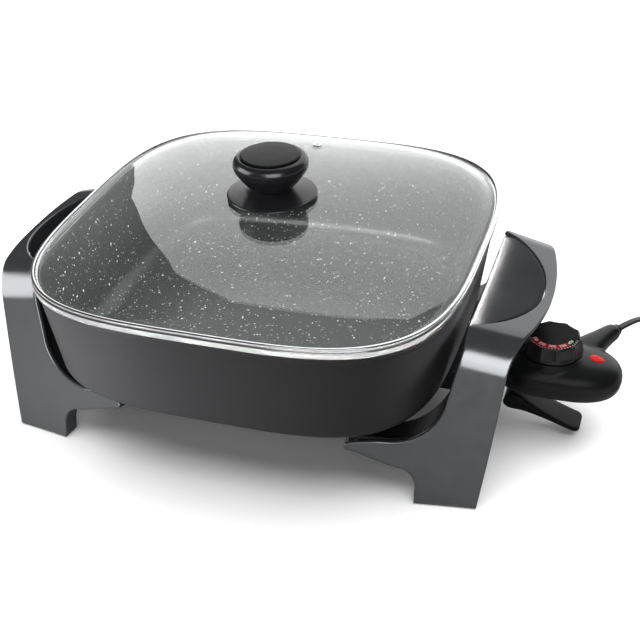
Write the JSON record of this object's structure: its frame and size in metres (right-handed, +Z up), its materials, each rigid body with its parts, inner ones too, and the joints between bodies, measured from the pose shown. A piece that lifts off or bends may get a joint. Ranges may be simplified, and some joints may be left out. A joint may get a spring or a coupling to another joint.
{
  "type": "electric skillet",
  "caption": "Square electric skillet with arch handles that form its legs, a domed lift-off glass lid, and a plug-in temperature probe with dial and release lever.",
  "frame": {"origin": "on the table under the middle of the appliance, halfway between the left handle and the outer end of the plugged-in probe", "axes": "+X towards the probe, +Y to the back, +Z up"},
  "size_m": [0.6416, 0.3206, 0.205],
  "materials": {
    "pan_coating": "satin dark-grey nonstick over die-cast aluminium",
    "cast_aluminium": "as cast",
    "spreader_aluminium": "rolled sheet",
    "element_sheath": "heat-darkened",
    "plated_steel": "zinc plated",
    "black_plastic": "satin moulded phenolic",
    "ceramic": "glazed ceramic",
    "bright_steel": "polished stainless steel",
    "handle_metallic": "grey metallic paint on phenolic",
    "handle_gloss": "dark grey gloss",
    "rubber": "matt",
    "lid_glass": "clear tempered glass",
    "knob_plastic": "satin black phenolic",
    "knob_gloss": "gloss black inset",
    "probe_gloss": "semi-gloss black",
    "brass": "bright",
    "red_lens": "translucent red",
    "lamp_glass": "clear",
    "dial_plastic": "fine grained",
    "dial_print": "gloss black with printed scale",
    "lever_plastic": "satin dark grey",
    "cord_jacket": "satin grey flexible cord",
    "plug_plastic": "satin"
  },
  "bodies": {
    "base": {"pan_body": "pan_coating", "pan_bottom": "pan_coating", "pan_studs": "cast_aluminium", "heat_spreader": "spreader_aluminium", "heating_element": "element_sheath", "element_clips": "plated_steel", "clip_screws": "plated_steel", "sensor_socket": "cast_aluminium", "terminal_guard": "black_plastic", "terminal_insulators": "ceramic", "terminal_pins": "bright_steel", "guard_screws": "plated_steel", "left_handle_shell": "handle_metallic", "right_handle_shell": "handle_metallic", "left_handle_inlay": "handle_gloss", "right_handle_inlay": "handle_gloss", "left_front_bracket": "black_plastic", "left_rear_bracket": "black_plastic", "right_front_bracket": "black_plastic", "right_rear_bracket": "black_plastic", "bracket_screws": "plated_steel", "handle_screws": "plated_steel", "left_front_foot": "rubber", "left_rear_foot": "rubber", "right_front_foot": "rubber", "right_rear_foot": "rubber"},
    "lid": {"lid_glass": "lid_glass", "lid_rim": "bright_steel", "vent_grommet": "bright_steel", "knob_gasket": "rubber", "knob_skirt": "knob_plastic", "knob_body": "knob_plastic", "knob_cap": "knob_gloss", "knob_washer": "plated_steel", "knob_screw": "plated_steel"},
    "probe": {"probe_housing_top": "probe_gloss", "probe_housing_bottom": "probe_gloss", "probe_nose": "black_plastic", "housing_screws": "plated_steel", "sensor_stem": "bright_steel", "contact_sleeves": "brass", "dial_bushing": "plated_steel", "thermostat_frame": "plated_steel", "bimetal_blade": "brass", "contact_leaf": "brass", "contact_points": "bright_steel", "indicator_lens": "red_lens", "indicator_lamp": "lamp_glass", "lever_pin": "bright_steel", "strain_relief": "probe_gloss", "cord_lead": "cord_jacket", "cord_coil": "cord_jacket", "cord_tail": "cord_jacket", "cord_tie": "cord_jacket", "plug_body": "plug_plastic", "plug_blades": "brass"},
    "dial": {"dial_knob": "dial_plastic", "dial_face": "dial_print", "dial_shaft": "bright_steel"},
    "lever": {"release_lever": "lever_plastic"}
  },
  "joints": [
    {"name": "lid_lift", "type": "slide", "parent": "base", "child": "lid", "axis": [0, 0, 1], "range_m": [0, 0.15]},
    {"name": "probe_pull", "type": "slide", "parent": "base", "child": "probe", "axis": [1, 0, 0], "range_m": [0, 0.1]},
    {"name": "dial_turn", "type": "hinge", "parent": "probe", "child": "dial", "pos_m": [0.18675, 0, 0.0705], "axis": [0, 0, 1], "range_deg": [0, 270]},
    {"name": "lever_press", "type": "hinge", "parent": "probe", "child": "lever", "pos_m": [0.16175, 0, 0.025], "axis": [0, -1, 0], "range_deg": [0, 12], "stiffness_Nm_per_rad": 0.05}
  ]
}
